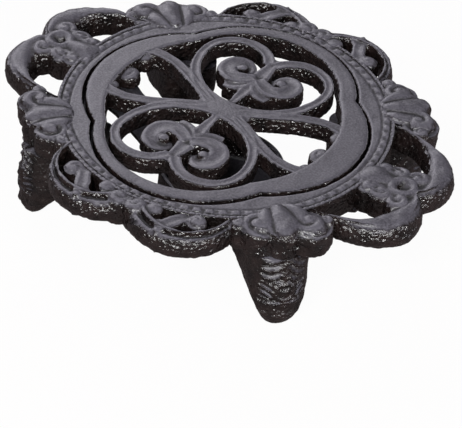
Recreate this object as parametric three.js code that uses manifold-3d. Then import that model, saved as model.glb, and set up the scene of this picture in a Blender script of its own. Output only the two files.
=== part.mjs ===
// Cast-iron teapot warmer: openwork frame on four bracket legs, a drop-in grille
// and a candle cup on two arms. Millimetres, +Z up, origin on the floor at the centre.
import * as THREE from 'three';
import { mergeVertices } from 'three/addons/utils/BufferGeometryUtils.js';
import Module from 'manifold-3d';

const wasm = await Module();
wasm.setup();
const { Manifold, Mesh } = wasm;

// Heights above the floor.
const TOP_Z = 40;              // top of the grille and of the frame's flat band
const FRAME_DEPTH = 10;        // frame casting, top band to underside
const GRILLE_THICK = 6.5;
const CUP_TOP_Z = 16;
const CUP_BOTTOM_Z = 2;

// Quatrefoil outline of the grille: two pairs of equal arcs meeting in four notches.
const LOBE_X_CENTRE = 13.4;
const LOBE_X_RADIUS = 37.8;
const LOBE_Y_CENTRE = 16.8;
const LOBE_Y_RADIUS = 36.8;
const GRILLE_SHIFT = 0.4;      // the loose grille lies slightly to the back of its recess

// Frame.
const BAND_RADIUS = 58.8;      // outer edge of the flat band round the recess
const SIDE_SCROLL = { x: 62.5, y: 11.5, rx: 18.5, ry: 17, holeX: 54, holeY: 9.5, hole: 17.6 };
const END_SCROLL = { x: 15.7, y: 50.3, rx: 19.7, ry: 19.8, holeX: 17.6, holeY: 49.6, hole: 14.6 };
const END_STRUT = { x: 17.8, width: 3.4 };   // bridge across the opening of each end scroll
const SCROLL_EDGE = 1.6;       // rounding of the scroll edges
const ROSETTE_X = 66;
const ROSETTE_HALF = 9.5;
const ROSETTE_RISE = 0.8;
const LEDGE_WIDTH = 3.2;       // seat under the rim of the grille

// Corner leaves, one over each leg: two curled lobes, a bud between them and the root behind.
const CORNER_ANGLE = THREE.MathUtils.degToRad(40.5);
const LEAF_SIDE_LOBE = { x: 56.8, y: 36, radius: 6.8 };
const LEAF_END_LOBE = { x: 43.6, y: 45, radius: 6 };
const LEAF_BUD = { x: 51.4, y: 43, radius: 4.2 };
const LEAF_ROOT = { x: 46.5, y: 36.5, radius: 9 };
const LEAF_RISE = 1.6;

// Grille tracery.
const RIM_SIDE = { width: 10.7, radius: 42.3 };   // rim at left and right, and its inner arc
const RIM_END = { width: 5.3, radius: 31.4 };     // rim at front and back, and its inner arc
const BAR_WIDTH = 3.6;
const TRACERY_X = -1.3;        // the openwork sits a little to one side of the outline
const HEART_RADIUS = 24.6;
const HEART_CENTRE = 27.2;
const HEART_LOBE = 12.2;
const FAN_START = new THREE.Vector2(7, 1.4);
const FAN_BEND = new THREE.Vector2(20, 8.5);
const FAN_CREST = new THREE.Vector2(30, 18.5);
const FAN_END_Y = 12.5;
const FAN_BITE = 3;            // the fan bar's end inside the rim
const STEM_WIDTH = 4.2;
const STEM_TOP = 34.5;
const VOLUTE = { x: 8.6, y: 26.4, radius: 5.6 };
const LEAFLET = { x: 6.2, y: 18.6, radius: 4.1 };
const LEAF_BODY = { y: 23, radius: 4.8 };
const NUB = { reach: 1.5, radius: 3.3, drop: 2.4 };   // small curl on the rim's inner edge

// Legs: one bracket casting screwed under each corner.
const LEG_INNER = 38;
const LEG_OUTER = 72;
const LEG_FACE = 6.4;          // half width of the carved outer face
const LEG_HALF = 10.7;         // half width behind the bevels
const LEG_BEVEL_AT = 63;
const LEG_HEEL_Z = 16;         // lower edge of the inner end
const FOOT_HALF = 3.2;
const FOOT_INNER = 64;
const FOOT_LENGTH = 6;

// Candle cup and its two arms.
const CUP_RADIUS = 22.5;
const CUP_WALL = 1.9;
const CUP_FLOOR = 2.2;
const ARM_HALF_WIDTH = 10;
const ARM_THICK = 2.3;
const ARM_KNEE_X = 45;
const ARM_TIP_X = 58.2;
const ARM_ROOT_DEPTH = 1.6;    // top of the arm below the lip of the cup

// Screws.
const LEG_SCREW_AT = 54;
const LEG_SCREW_RADIUS = 2.5;
const LEG_HEAD_RADIUS = 4.3;
const LEG_HEAD_HEIGHT = 3.4;
const LEG_HEAD_SEAT_Z = 22;
const CUP_SCREW_X = 55.4;
const CUP_SCREW_RADIUS = 1.9;
const CUP_HEAD_RADIUS = 3.6;
const CUP_HEAD_HEIGHT = 2.2;
const SCREW_BITE = 6;          // thread length in the frame
const SLOT_WIDTH = 1.1;
const SLOT_DEPTH = 1.3;

// Fits.
const GRILLE_CLEARANCE = 0.9;
const SEAT_GAP = 0.3;          // between faces that rest on each other
const SCREW_CLEARANCE = 0.35;
const CUT_MARGIN = 9;          // how far a cut runs past the body it cuts

const FRAME_BOTTOM = TOP_Z - FRAME_DEPTH;
const GRILLE_BOTTOM = TOP_Z - GRILLE_THICK;
const LEDGE_TOP = GRILLE_BOTTOM - SEAT_GAP;
const LEG_TOP = FRAME_BOTTOM - SEAT_GAP;
const ARM_TOP = FRAME_BOTTOM - SEAT_GAP;
const CORNERS = [
  { name: 'front_right', angle: -CORNER_ANGLE },
  { name: 'back_right', angle: CORNER_ANGLE },
  { name: 'back_left', angle: Math.PI - CORNER_ANGLE },
  { name: 'front_left', angle: Math.PI + CORNER_ANGLE },
];
const SIGNS = [-1, 1];

const castIron = new THREE.MeshStandardMaterial({ color: 0x3b3a3f, metalness: 0.75, roughness: 0.62 });
const screwSteel = new THREE.MeshStandardMaterial({ color: 0x55565a, metalness: 0.9, roughness: 0.4 });

function toSolid(geometry) {
  const bare = geometry.index ? geometry.toNonIndexed() : geometry.clone();
  for (const key of Object.keys(bare.attributes)) if (key !== 'position') bare.deleteAttribute(key);
  const merged = mergeVertices(bare, 1e-5);
  const mesh = new Mesh({
    numProp: 3,
    vertProperties: Float32Array.from(merged.attributes.position.array),
    triVerts: Uint32Array.from(merged.index.array),
  });
  return new Manifold(mesh);
}

function unite(solids) {
  return solids.reduce((sum, next) => sum.add(next));
}

function toMesh(solid, name, material) {
  const data = solid.getMesh();
  const geometry = new THREE.BufferGeometry();
  geometry.setAttribute('position', new THREE.BufferAttribute(Float32Array.from(data.vertProperties), 3));
  geometry.setIndex(new THREE.BufferAttribute(Uint32Array.from(data.triVerts), 1));
  geometry.computeVertexNormals();
  const mesh = new THREE.Mesh(geometry, material);
  mesh.name = name;
  return mesh;
}

// A flat shape raised from z0 to z1; edge is the rounding of its top and bottom rims.
function slab(shape, z0, z1, edge = 0, segments = 10) {
  const geometry = new THREE.ExtrudeGeometry(shape, {
    depth: z1 - z0 - 2 * edge,
    curveSegments: segments,
    bevelEnabled: edge > 0,
    bevelThickness: edge,
    bevelSize: edge,
    bevelOffset: -edge,
    bevelSegments: 2,
  });
  geometry.translate(0, 0, z0 + edge);
  return toSolid(geometry);
}

function disc(x, y, radius) {
  return new THREE.Shape().absarc(x, y, radius, 0, 2 * Math.PI, false);
}

function cylinder(radius, z0, z1, segments = 20) {
  const profile = [[0, z0], [radius, z0], [radius, z1], [0, z1]].map(([r, z]) => new THREE.Vector2(r, z));
  return toSolid(new THREE.LatheGeometry(profile, segments).rotateX(Math.PI / 2));
}

// A round hole through the frame, flared at both faces by the rounding of the scroll edges.
function flaredHole(radius) {
  const bevel = SCROLL_EDGE * (1 - Math.SQRT1_2);
  const rim = [[radius + SCROLL_EDGE, CUT_MARGIN], [radius + SCROLL_EDGE, 0], [radius + bevel, -bevel],
    [radius, -SCROLL_EDGE]];
  const profile = [[0, FRAME_BOTTOM - CUT_MARGIN], ...rim.map(([r, z]) => [r, FRAME_BOTTOM - z]),
    ...rim.reverse().map(([r, z]) => [r, TOP_Z + z]), [0, TOP_Z + CUT_MARGIN]]
    .map(([r, z]) => new THREE.Vector2(r, z));
  return toSolid(new THREE.LatheGeometry(profile, 34).rotateX(Math.PI / 2));
}

// Four arcs, two centred on x and two on y, meeting in four notches.
function quatrefoil(x, y, grow) {
  const rx = x.radius + grow;
  const ry = y.radius + grow;
  const span = Math.hypot(x.centre, y.centre);
  const along = (span * span + rx * rx - ry * ry) / (2 * span);
  const side = Math.sqrt(rx * rx - along * along);
  const ux = -x.centre / span;
  const uy = y.centre / span;
  const notch = new THREE.Vector2(x.centre + ux * along + uy * side, uy * along - ux * side);
  const ax = Math.atan2(notch.y, notch.x - x.centre);
  const ay = Math.atan2(notch.y - y.centre, notch.x);
  const shape = new THREE.Shape();
  shape.absarc(x.centre, 0, rx, -ax, ax, false);
  shape.absarc(0, y.centre, ry, ay, Math.PI - ay, false);
  shape.absarc(-x.centre, 0, rx, Math.PI - ax, Math.PI + ax, false);
  shape.absarc(0, -y.centre, ry, Math.PI + ay, 2 * Math.PI - ay, false);
  return shape;
}

const OUTLINE_X = { centre: LOBE_X_CENTRE, radius: LOBE_X_RADIUS };
const OUTLINE_Y = { centre: LOBE_Y_CENTRE, radius: LOBE_Y_RADIUS };
const RIM_EDGE_X = LOBE_X_CENTRE + LOBE_X_RADIUS - RIM_SIDE.width;
const RIM_EDGE_Y = LOBE_Y_CENTRE + LOBE_Y_RADIUS - RIM_END.width;
const RIM_INNER_X = { centre: RIM_EDGE_X - RIM_SIDE.radius, radius: RIM_SIDE.radius };
const RIM_INNER_Y = { centre: RIM_EDGE_Y - RIM_END.radius, radius: RIM_END.radius };

function ribbon(curve, width, steps) {
  const half = width / 2;
  const points = curve.getSpacedPoints(steps);
  const normals = points.map((p, i) => {
    const a = points[Math.max(i - 1, 0)];
    const b = points[Math.min(i + 1, steps)];
    return new THREE.Vector2(a.y - b.y, b.x - a.x).normalize().multiplyScalar(half);
  });
  const left = points.map((p, i) => p.clone().add(normals[i]));
  const right = points.map((p, i) => p.clone().sub(normals[i])).reverse();
  return new THREE.Shape([...left, ...right]);
}

function mirrored(curve, sx, sy) {
  const points = curve.getSpacedPoints(28).map((p) => new THREE.Vector2(p.x * sx, p.y * sy));
  return new THREE.SplineCurve(points);
}

function buildFrame() {
  const band = slab(disc(0, 0, BAND_RADIUS), FRAME_BOTTOM, TOP_Z, 0, 48);
  const parts = [band];
  for (const scroll of [SIDE_SCROLL, END_SCROLL]) {
    for (const sx of SIGNS) for (const sy of SIGNS) {
      const plan = new THREE.Shape();
      plan.absellipse(sx * scroll.x, sy * scroll.y, scroll.rx, scroll.ry, 0, 2 * Math.PI, false);
      const solid = slab(plan, FRAME_BOTTOM, TOP_Z, SCROLL_EDGE, 18);
      const core = slab(disc(0, 0, BAND_RADIUS - SCROLL_EDGE - 1), FRAME_BOTTOM - 1, TOP_Z + 1, 0, 48);
      const hole = flaredHole(scroll.hole).translate([sx * scroll.holeX, sy * scroll.holeY, 0]);
      parts.push(solid.subtract(core).subtract(hole));
    }
  }
  for (const sx of SIGNS) for (const sy of SIGNS) {
    const strut = new THREE.LineCurve(
      new THREE.Vector2(sx * END_STRUT.x, sy * END_SCROLL.y),
      new THREE.Vector2(sx * END_STRUT.x, sy * (END_SCROLL.holeY + END_SCROLL.hole + SCROLL_EDGE)));
    parts.push(slab(ribbon(strut, END_STRUT.width, 1), FRAME_BOTTOM, TOP_Z - SCROLL_EDGE));
  }
  for (const sx of SIGNS) {
    const rosette = new THREE.Shape();
    rosette.absellipse(sx * ROSETTE_X, 0, ROSETTE_HALF, ROSETTE_HALF, 0, 2 * Math.PI, false);
    parts.push(slab(rosette, FRAME_BOTTOM, TOP_Z + ROSETTE_RISE, SCROLL_EDGE, 8));
  }
  for (const sx of SIGNS) for (const sy of SIGNS) {
    for (const lobe of [LEAF_SIDE_LOBE, LEAF_END_LOBE, LEAF_BUD]) {
      parts.push(slab(disc(sx * lobe.x, sy * lobe.y, lobe.radius), FRAME_BOTTOM, TOP_Z + LEAF_RISE, SCROLL_EDGE, 8));
    }
    parts.push(slab(disc(sx * LEAF_ROOT.x, sy * LEAF_ROOT.y, LEAF_ROOT.radius), FRAME_BOTTOM, TOP_Z, 0, 10));
  }
  let frame = unite(parts);
  frame = frame.subtract(slab(quatrefoil(OUTLINE_X, OUTLINE_Y, GRILLE_CLEARANCE), LEDGE_TOP, TOP_Z + CUT_MARGIN, 0, 16));
  frame = frame.subtract(slab(quatrefoil(OUTLINE_X, OUTLINE_Y, -LEDGE_WIDTH), FRAME_BOTTOM - CUT_MARGIN, TOP_Z, 0, 16));
  const bite = FRAME_BOTTOM + SCREW_BITE + SCREW_CLEARANCE;
  for (const corner of CORNERS) {
    const hole = cylinder(LEG_SCREW_RADIUS + SCREW_CLEARANCE, FRAME_BOTTOM - CUT_MARGIN, bite);
    frame = frame.subtract(hole.translate([
      LEG_SCREW_AT * Math.cos(corner.angle), LEG_SCREW_AT * Math.sin(corner.angle), 0]));
  }
  for (const sx of SIGNS) {
    const hole = cylinder(CUP_SCREW_RADIUS + SCREW_CLEARANCE, FRAME_BOTTOM - CUT_MARGIN, bite, 16);
    frame = frame.subtract(hole.translate([sx * CUP_SCREW_X, 0, 0]));
  }
  return frame;
}

function buildGrille() {
  const rim = quatrefoil(OUTLINE_X, OUTLINE_Y, 0);
  const opening = slab(quatrefoil(RIM_INNER_X, RIM_INNER_Y, 0), GRILLE_BOTTOM - 1, TOP_Z + 1, 0, 16);
  const parts = [];
  const heart = new THREE.CurvePath();
  const lobeX = HEART_RADIUS - HEART_LOBE;
  heart.add(new THREE.EllipseCurve(0, HEART_CENTRE, HEART_RADIUS, HEART_RADIUS, -Math.PI / 2, 0, false));
  heart.add(new THREE.EllipseCurve(lobeX, HEART_CENTRE, HEART_LOBE, HEART_LOBE, 0, Math.PI * 0.86, false));
  const fan = new THREE.CubicBezierCurve(FAN_START, FAN_BEND, FAN_CREST,
    new THREE.Vector2(RIM_EDGE_X + FAN_BITE, FAN_END_Y));
  for (const sy of SIGNS) {
    for (const sx of SIGNS) {
      parts.push(slab(ribbon(mirrored(heart, sx, sy), BAR_WIDTH, 34), GRILLE_BOTTOM, TOP_Z));
      parts.push(slab(ribbon(mirrored(fan, sx, sy), BAR_WIDTH, 14), GRILLE_BOTTOM, TOP_Z));
      parts.push(slab(disc(sx * VOLUTE.x, sy * VOLUTE.y, VOLUTE.radius), GRILLE_BOTTOM, TOP_Z, 0, 9));
      parts.push(slab(disc(sx * LEAFLET.x, sy * LEAFLET.y, LEAFLET.radius), GRILLE_BOTTOM, TOP_Z, 0, 8));
    }
    const stem = new THREE.LineCurve(new THREE.Vector2(0, sy), new THREE.Vector2(0, sy * STEM_TOP));
    parts.push(slab(ribbon(stem, STEM_WIDTH, 1), GRILLE_BOTTOM, TOP_Z));
    parts.push(slab(disc(0, sy * LEAF_BODY.y, LEAF_BODY.radius), GRILLE_BOTTOM, TOP_Z, 0, 8));
  }
  for (const sx of SIGNS) {
    const web = ribbon(new THREE.LineCurve(
      new THREE.Vector2(sx * (RIM_EDGE_X - NUB.reach), 0),
      new THREE.Vector2(sx * (RIM_EDGE_X + NUB.reach), 0)), 2 * NUB.radius, 1);
    parts.push(slab(disc(sx * (RIM_EDGE_X - NUB.reach), 0, NUB.radius), GRILLE_BOTTOM, TOP_Z - NUB.drop, 0, 8));
    parts.push(slab(web, GRILLE_BOTTOM, TOP_Z - NUB.drop));
  }
  parts.push(slab(ribbon(new THREE.LineCurve(
    new THREE.Vector2(-FAN_BEND.x / 2, 0), new THREE.Vector2(FAN_BEND.x / 2, 0)), 2 * BAR_WIDTH, 1),
  GRILLE_BOTTOM, TOP_Z));
  const ring = slab(rim, GRILLE_BOTTOM, TOP_Z, 0, 16).subtract(opening.translate([TRACERY_X, 0, 0]));
  return unite(parts).translate([TRACERY_X, 0, 0]).add(ring).translate([0, GRILLE_SHIFT, 0]);
}

// The leg is the common part of its plan, its side profile and its front outline.
function buildLeg() {
  const plan = new THREE.Shape([
    [LEG_INNER, -LEG_HALF], [LEG_BEVEL_AT, -LEG_HALF], [LEG_OUTER, -LEG_FACE],
    [LEG_OUTER, LEG_FACE], [LEG_BEVEL_AT, LEG_HALF], [LEG_INNER, LEG_HALF],
  ].map(([r, t]) => new THREE.Vector2(r, t)));
  const side = new THREE.Shape();
  side.moveTo(LEG_INNER, LEG_TOP);
  side.lineTo(LEG_INNER, LEG_HEEL_Z);
  side.quadraticCurveTo(FOOT_INNER - 8, LEG_HEEL_Z - 1, FOOT_INNER, 0);
  side.lineTo(FOOT_INNER + FOOT_LENGTH, 0);
  side.quadraticCurveTo(LEG_OUTER + 0.8, LEG_HEEL_Z / 2, LEG_OUTER - 0.4, LEG_TOP * 0.6);
  side.lineTo(LEG_OUTER - 1.6, LEG_TOP);
  const front = new THREE.Shape();
  front.moveTo(-LEG_HALF - 1, LEG_TOP);
  front.bezierCurveTo(-LEG_HALF - 0.4, LEG_TOP / 2, -LEG_HALF + 0.8, LEG_TOP / 6, -FOOT_HALF, 0);
  front.lineTo(FOOT_HALF, 0);
  front.bezierCurveTo(LEG_HALF - 0.8, LEG_TOP / 6, LEG_HALF + 0.4, LEG_TOP / 2, LEG_HALF + 1, LEG_TOP);
  const sideSolid = new THREE.ExtrudeGeometry(side, { depth: 4 * LEG_HALF, bevelEnabled: false, curveSegments: 7 });
  sideSolid.translate(0, 0, -2 * LEG_HALF).rotateX(Math.PI / 2);
  const frontSolid = new THREE.ExtrudeGeometry(front, { depth: LEG_OUTER, bevelEnabled: false, curveSegments: 9 });
  frontSolid.rotateX(Math.PI / 2).rotateZ(Math.PI / 2).translate(LEG_INNER / 2, 0, 0);
  let leg = slab(plan, -1, LEG_TOP + 1).intersect(toSolid(sideSolid)).intersect(toSolid(frontSolid));
  const bore = cylinder(LEG_SCREW_RADIUS + SCREW_CLEARANCE, -1, LEG_TOP + 1);
  const counterbore = cylinder(LEG_HEAD_RADIUS + SCREW_CLEARANCE, -1, LEG_HEAD_SEAT_Z);
  leg = leg.subtract(bore.add(counterbore).translate([LEG_SCREW_AT, 0, 0]));
  return leg;
}

// A slotted screw standing head down, its head seated under seatZ.
function buildScrew(radius, headRadius, headHeight, seatZ, tipZ) {
  const crown = headHeight * 0.35;
  const profile = [
    [0, seatZ - headHeight], [headRadius - crown, seatZ - headHeight], [headRadius, seatZ - headHeight + crown],
    [headRadius, seatZ], [radius, seatZ], [radius, tipZ - 0.8], [radius - 0.8, tipZ], [0, tipZ],
  ].map(([r, z]) => new THREE.Vector2(r, z));
  const screw = toSolid(new THREE.LatheGeometry(profile, 18).rotateX(Math.PI / 2));
  const slot = new THREE.BoxGeometry(3 * headRadius, SLOT_WIDTH, SLOT_DEPTH);
  slot.translate(0, 0, seatZ - headHeight + SLOT_DEPTH / 2);
  const clear = new THREE.BoxGeometry(3 * headRadius, SLOT_WIDTH, 1);
  clear.translate(0, 0, seatZ - headHeight - 0.4);
  return screw.subtract(toSolid(slot)).subtract(toSolid(clear));
}

function buildCup() {
  const inner = CUP_RADIUS - CUP_WALL;
  const profile = [
    [0, CUP_BOTTOM_Z], [CUP_RADIUS - 1.5, CUP_BOTTOM_Z], [CUP_RADIUS, CUP_BOTTOM_Z + 1.5],
    [CUP_RADIUS, CUP_TOP_Z - 0.5], [CUP_RADIUS - 0.5, CUP_TOP_Z], [inner + 0.5, CUP_TOP_Z],
    [inner, CUP_TOP_Z - 0.5], [inner, CUP_BOTTOM_Z + CUP_FLOOR], [0, CUP_BOTTOM_Z + CUP_FLOOR],
  ].map(([r, z]) => new THREE.Vector2(r, z));
  const cup = toSolid(new THREE.LatheGeometry(profile, 48).rotateX(Math.PI / 2));
  const parts = [cup];
  const root = CUP_TOP_Z - ARM_ROOT_DEPTH;
  for (const sx of SIGNS) {
    const arm = new THREE.Shape([
      [CUP_RADIUS - CUP_WALL / 2, root], [ARM_KNEE_X, ARM_TOP], [ARM_TIP_X, ARM_TOP],
      [ARM_TIP_X, ARM_TOP - ARM_THICK], [ARM_KNEE_X + 0.7, ARM_TOP - ARM_THICK],
      [CUP_RADIUS - CUP_WALL / 2, root - 1.25 * ARM_THICK],
    ].map(([x, z]) => new THREE.Vector2(x, z)));
    const solid = new THREE.ExtrudeGeometry(arm, { depth: 2 * ARM_HALF_WIDTH, bevelEnabled: false });
    solid.translate(0, 0, -ARM_HALF_WIDTH).rotateX(Math.PI / 2);
    if (sx < 0) solid.rotateZ(Math.PI);
    const hole = cylinder(CUP_SCREW_RADIUS + SCREW_CLEARANCE, CUP_BOTTOM_Z, TOP_Z, 16);
    parts.push(toSolid(solid).subtract(hole.translate([sx * CUP_SCREW_X, 0, 0])));
  }
  return unite(parts);
}

const warmer = new THREE.Group();
warmer.name = 'teapot_warmer';
warmer.add(toMesh(buildFrame(), 'frame', castIron));
warmer.add(toMesh(buildGrille(), 'grille', castIron));
warmer.add(toMesh(buildCup(), 'candle_cup', castIron));

const leg = buildLeg();
const legScrew = buildScrew(LEG_SCREW_RADIUS, LEG_HEAD_RADIUS, LEG_HEAD_HEIGHT,
  LEG_HEAD_SEAT_Z - SEAT_GAP, FRAME_BOTTOM + SCREW_BITE);
for (const corner of CORNERS) {
  const degrees = THREE.MathUtils.radToDeg(corner.angle);
  warmer.add(toMesh(leg.rotate([0, 0, degrees]), `leg_${corner.name}`, castIron));
  const placed = legScrew.translate([LEG_SCREW_AT, 0, 0]).rotate([0, 0, degrees]);
  warmer.add(toMesh(placed, `leg_screw_${corner.name}`, screwSteel));
}

const cupScrew = buildScrew(CUP_SCREW_RADIUS, CUP_HEAD_RADIUS, CUP_HEAD_HEIGHT,
  ARM_TOP - ARM_THICK - SEAT_GAP, FRAME_BOTTOM + SCREW_BITE);
for (const sx of SIGNS) {
  const placed = cupScrew.translate([sx * CUP_SCREW_X, 0, 0]);
  warmer.add(toMesh(placed, `cup_screw_${sx < 0 ? 'left' : 'right'}`, screwSteel));
}

export default warmer;
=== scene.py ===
# %% [markdown]
# # Cast-iron teapot warmer
# A low stand for a teapot: an openwork frame on four bracket legs, a loose grille that drops
# into it, and a cup for a candle hung under the middle on two arms. The real one is sand cast
# and painted thin and black. Its top faces look matte and slate grey under the light from above,
# and its walls look brown-black, glossy and grainy. Here that grey and that brown are painted into
# the colour, as sheen and as reflection. The imported solids give every place and size. Each
# casting here is drawn again as a rounded, carved surface that stands exactly where its solid
# stands.

import math

import bpy
import numpy as np
from mathutils import Matrix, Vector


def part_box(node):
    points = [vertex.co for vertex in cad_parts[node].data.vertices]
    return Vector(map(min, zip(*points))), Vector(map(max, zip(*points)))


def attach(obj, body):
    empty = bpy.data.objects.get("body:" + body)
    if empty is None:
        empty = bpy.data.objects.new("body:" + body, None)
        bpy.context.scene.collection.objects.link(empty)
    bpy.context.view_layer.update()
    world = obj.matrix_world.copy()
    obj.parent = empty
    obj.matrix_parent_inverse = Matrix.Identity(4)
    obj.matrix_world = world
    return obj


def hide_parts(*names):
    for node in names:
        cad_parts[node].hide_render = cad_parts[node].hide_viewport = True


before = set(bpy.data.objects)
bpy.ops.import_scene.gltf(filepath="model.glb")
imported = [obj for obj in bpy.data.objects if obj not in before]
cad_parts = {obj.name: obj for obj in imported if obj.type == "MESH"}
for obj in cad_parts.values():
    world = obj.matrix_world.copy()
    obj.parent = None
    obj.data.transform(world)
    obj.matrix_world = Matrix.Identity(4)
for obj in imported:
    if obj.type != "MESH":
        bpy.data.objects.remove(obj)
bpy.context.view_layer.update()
MM = 0.001

# %% [markdown]
# ## The camera and the light
# The camera stands in front, to the right and well above the plate, with a long lens, so the
# far scrolls look almost as large as the near ones. Its place came from solving for the view
# in which the plate's known outline falls on the outline in the photograph.
#
# The studio is a white sweep. A broad violet-white panel, behind on the left, gives the top
# faces their matte sheen. A weaker one stands low on the right. Small lamps in front, low down
# and towards the right corner make the glints on the near walls. World and floor look white to
# the camera and stay dim to every other ray, as the underside of the real one is dark.

# %% Camera
PLACE = (0.35658, -0.62173, 0.57421)
RIGHT, UP = (0.84333199, 0.53385932, 0.06152549), (-0.37754531, 0.50711269, 0.77478788)
BACK = (0.38242737, -0.67663206, 0.62922044)

camera = bpy.data.objects.new("camera", bpy.data.cameras.new("camera"))
bpy.context.scene.collection.objects.link(camera)
camera.data.sensor_width, camera.data.lens = 36.0, 200.897
camera.data.clip_start, camera.data.clip_end = 0.02, 30.0
turn = Matrix((RIGHT, UP, BACK)).transposed().to_4x4()
turn.translation = PLACE
camera.matrix_world = turn
bpy.context.scene.camera = camera
print("field of view:", round(math.degrees(camera.data.angle), 2), "degrees")


# %% Studio
def area_lamp(name, place, aim, width, height, watts, colour):
    """A soft rectangular lamp at a place, facing a point. Its own axes are the direction away
    from the point, the level direction across that, and the cross product of the two."""
    lamp = bpy.data.objects.new(name, bpy.data.lights.new(name, "AREA"))
    lamp.data.shape = "RECTANGLE"
    lamp.data.size, lamp.data.size_y = width, height
    lamp.data.energy, lamp.data.color = watts, colour
    bpy.context.scene.collection.objects.link(lamp)
    away = np.array(place, float) - np.array(aim, float)
    away /= np.linalg.norm(away)
    across = np.cross((0, 0, 1), away)
    across /= np.linalg.norm(across)
    axes = Matrix((across, np.cross(away, across), away)).transposed().to_4x4()
    axes.translation = place
    lamp.matrix_world = axes
    lamp.visible_camera = False


SKY, WHITE = (0.95, 0.92, 1.0), (1.0, 1.0, 1.0)
# Each lamp: place, aim, width and height in metres, then watts and colour.
LAMPS = {
    "sky_panel": ((-1.4, 0.95, 1.0), (0, 0, 0.03), 1.7, 1.0, 26.0, SKY),
    "right_panel": ((1.5, 0.35, 0.35), (0, 0, 0.03), 0.8, 0.5, 6.0, SKY),
    "front_lamp": ((0.25, -1.0, 0.95), (0, 0, 0.02), 0.5, 0.28, 21.0, WHITE),
    "low_lamp": ((0.1, -1.25, 0.42), (0, 0, 0.02), 0.5, 0.16, 7.5, WHITE),
    "side_lamp": ((1.1, -0.35, 0.7), (0, 0, 0.02), 0.3, 0.2, 6.0, WHITE),
    "corner_lamp": ((1.15, -0.75, 0.28), (0.05, -0.02, 0.03), 0.26, 0.18, 11.0, WHITE),
}
for lamp_name, settings in LAMPS.items():
    area_lamp(lamp_name, *settings)

world = bpy.data.worlds.new("studio")
bpy.context.scene.world = world
world.use_nodes = True
dim = world.node_tree.nodes["Background"]
dim.inputs["Strength"].default_value = 0.09
seen = world.node_tree.nodes.new("ShaderNodeBackground")
for light in (dim, seen):
    light.inputs["Color"].default_value = (*WHITE, 1)
pick = world.node_tree.nodes.new("ShaderNodeMixShader")
ray = world.node_tree.nodes.new("ShaderNodeLightPath")
links = world.node_tree.links
links.new(ray.outputs["Is Camera Ray"], pick.inputs["Fac"])
links.new(dim.outputs["Background"], pick.inputs[1])
links.new(seen.outputs["Background"], pick.inputs[2])
links.new(pick.outputs["Shader"], world.node_tree.nodes["World Output"].inputs["Surface"])
bpy.context.scene.view_settings.view_transform = "Standard"
print("lamps, watts:", {name: settings[4] for name, settings in LAMPS.items()})

# %% [markdown]
# ## The grid helpers
# Every surface below is a grid of points. Neighbours are joined by two triangles, columns run
# round and meet, and rows either meet too (a ring) or end in a fan on their middle point, so
# that each shell is closed. A shell whose volume comes out negative is turned to face outwards.


# %% Closed shells from grids of points
def shell(grid, ring=False):
    """Points (millimetres) and triangles of a closed skin over grid[row, column]."""
    rows, columns = grid.shape[:2]
    points = grid.reshape(-1, 3)
    row = np.arange(rows if ring else rows - 1)[:, None] * columns
    here, across = np.arange(columns), (np.arange(columns) + 1) % columns
    below = (row + columns) % (rows * columns)
    a, b, c, d = (np.broadcast_to(x, (len(row), columns)).ravel()
                  for x in (row + here, row + across, below + across, below + here))
    triangles = np.concatenate([np.stack([a, b, c], 1), np.stack([a, c, d], 1)])
    if not ring:
        first, last = len(points), len(points) + 1
        points = np.concatenate([points, [grid[0].mean(0)], [grid[-1].mean(0)]])
        end = (rows - 1) * columns
        fan = np.stack([across, here, np.full(columns, first)], 1)
        tail = np.stack([end + here, end + across, np.full(columns, last)], 1)
        triangles = np.concatenate([triangles, fan, tail])
    p, q, r = (points[triangles[:, k]] for k in range(3))
    if np.einsum("ij,ij->i", p, np.cross(q, r)).sum() < 0:
        triangles = triangles[:, ::-1]
    return points, triangles


def flip_plan(one, sx, sy):
    """The same shell mirrored in plan, still facing outwards."""
    points, triangles = one
    mirrored = points * np.array((sx, sy, 1.0))
    return mirrored, triangles[:, ::-1] if sx * sy < 0 else triangles


def turned(one, degrees):
    """The same shell turned about the upright axis."""
    points, triangles = one
    a = math.radians(degrees)
    spin = np.array(((math.cos(a), math.sin(a), 0), (-math.sin(a), math.cos(a), 0), (0, 0, 1)))
    return points @ spin, triangles


def moved(one, x, y=0.0):
    """The same shell moved in plan."""
    points, triangles = one
    return points + np.array((x, y, 0)), triangles


def with_mirror(shells, sx, sy):
    """Shells, and then the mirror image of each."""
    return shells + [flip_plan(one, sx, sy) for one in shells]


def cubic(controls, first, share):
    """Between the second and third of four controls, at a share of the way: the cubic whose
    slope at a control is half the step between the controls on either side of it."""
    p, q, r, s = (controls[k] for k in first)
    f = share.reshape((-1,) + (1,) * (controls.ndim - 1))
    return q + 0.5 * f * (r - p + f * (2 * p - 5 * q + 4 * r - s + f * (3 * (q - r) + s - p)))


def smooth_loop(controls, samples):
    """A closed smooth line through control points, in cubic stretches."""
    count = len(controls)
    at = np.arange(samples) / samples * count
    k = at.astype(int)
    return cubic(controls, [(k + step) % count for step in (-1, 0, 1, 2)], at - k)


def smooth_line(controls, samples):
    """An open smooth line through control points, its ends carried on by a step."""
    controls = np.asarray(controls, float)
    carried = np.concatenate([2 * controls[:1] - controls[1:2], controls,
                              2 * controls[-1:] - controls[-2:-1]])
    at = np.linspace(0, len(controls) - 1, samples)
    k = np.minimum(at.astype(int), len(controls) - 2)
    return cubic(carried, [k + step for step in range(4)], at - k)


def around(count):
    """Angles of evenly spaced columns, once round."""
    return np.arange(count) / count * 2 * np.pi


def ease(low, high, value):
    """0 at low and before it, 1 at high and past it, and a smooth step between."""
    t = np.clip((value - low) / (high - low), 0, 1)
    return t * t * (3 - 2 * t)


def squared(value, power):
    """The value's size to a power, with its sign kept. It squares an oval off."""
    return np.sign(value) * np.abs(value) ** power


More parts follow.
